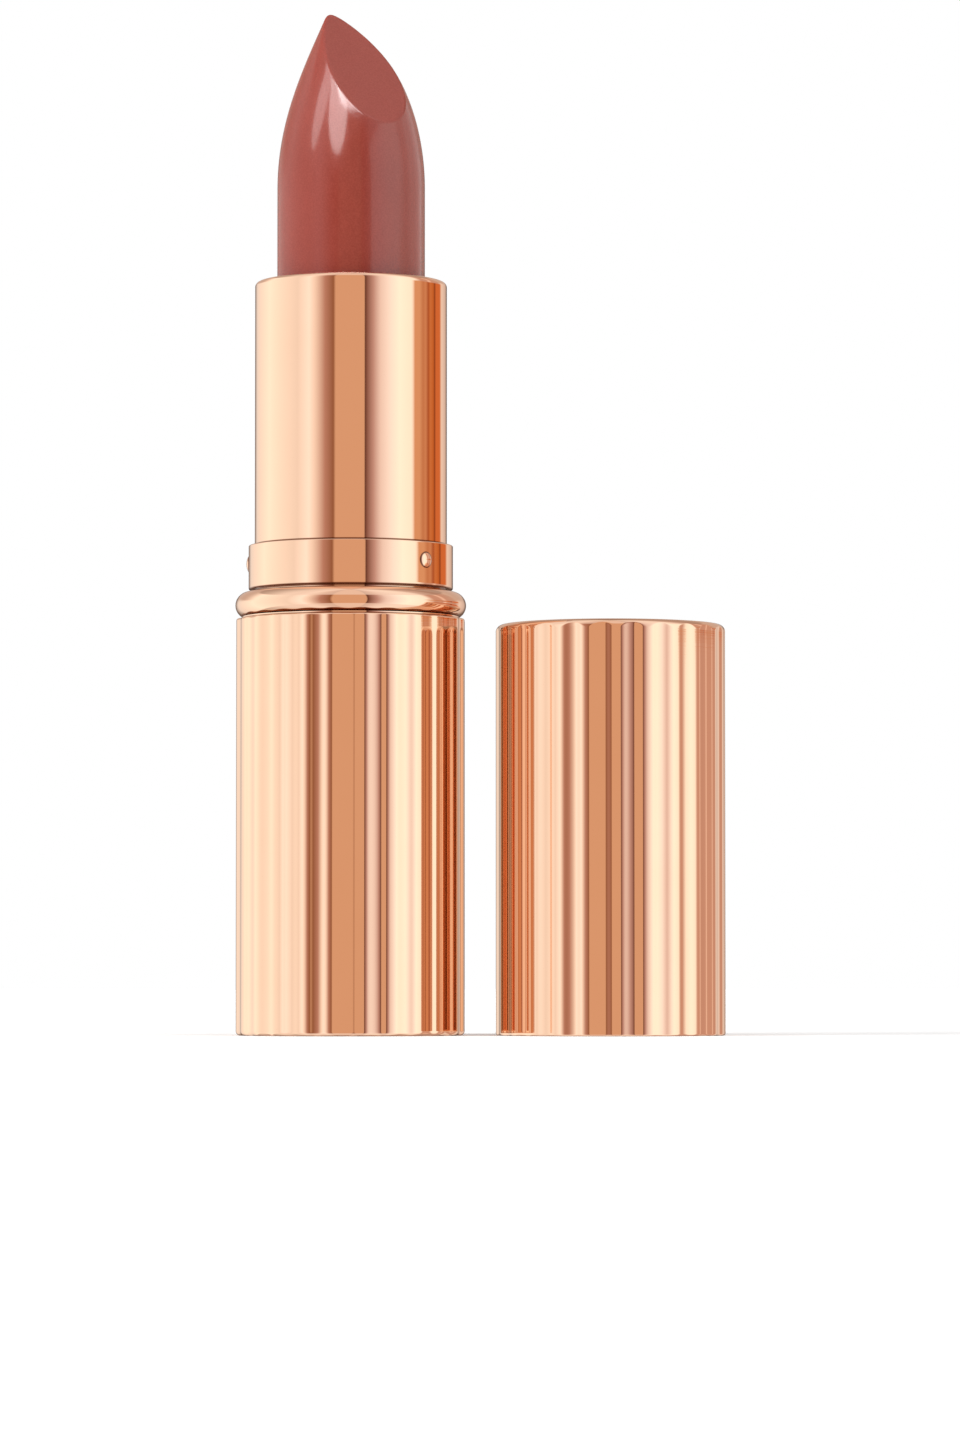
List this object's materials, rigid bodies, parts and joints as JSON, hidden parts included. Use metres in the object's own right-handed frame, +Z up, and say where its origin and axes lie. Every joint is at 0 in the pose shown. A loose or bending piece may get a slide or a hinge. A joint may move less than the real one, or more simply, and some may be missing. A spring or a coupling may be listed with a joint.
{
  "type": "lipstick case",
  "caption": "Twist-up lipstick case with a reeded metal base, a polished turning tube, a slant-cut bullet and a slip-on reeded cap.",
  "frame": {"origin": "centre of the base's flat underside, on the axis of the case", "axes": "+Z up the axis of the case, +X towards the cap that stands beside it, the front is -Y"},
  "size_m": [0.0421, 0.0198, 0.0879],
  "materials": {
    "reeded_metal": "anodised rose gold, bright",
    "polished_metal": "anodised rose gold, mirror polished",
    "core_plastic": "moulded",
    "guide_plastic": "moulded, satin",
    "liner_plastic": "moulded, satin",
    "weight_steel": "turned",
    "silicone": "matt",
    "label": "blank, satin",
    "lipstick": "waxy satin"
  },
  "bodies": {
    "base": {"base_shell": "reeded_metal", "base_core": "core_plastic", "base_weight": "weight_steel", "shade_label": "label", "bead_ring": "polished_metal", "guide_tube": "guide_plastic", "drag_ring": "silicone"},
    "tube": {"tube_shell": "polished_metal", "cam_sleeve": "guide_plastic", "collar_band": "polished_metal"},
    "carrier": {"carrier_cup": "guide_plastic", "lipstick_bullet": "lipstick"},
    "cap": {"cap_shell": "reeded_metal", "cap_liner": "liner_plastic"}
  },
  "joints": [
    {"name": "tube_twist", "type": "hinge", "parent": "base", "child": "tube", "pos_m": [0, 0, 0.038], "axis": [0, 0, 1], "range_deg": [0, 551.25]},
    {"name": "bullet_rise", "type": "slide", "parent": "base", "child": "carrier", "axis": [0, 0, 1], "range_m": [-0.0245, 0]},
    {"name": "cap_lift", "type": "slide", "parent": "base", "child": "cap", "axis": [0, 0, 1], "range_m": [0, 0.09]}
  ],
  "couplings": [
    {"joint": "bullet_rise", "follows": "tube_twist", "m_per_rad": -0.0025465}
  ]
}
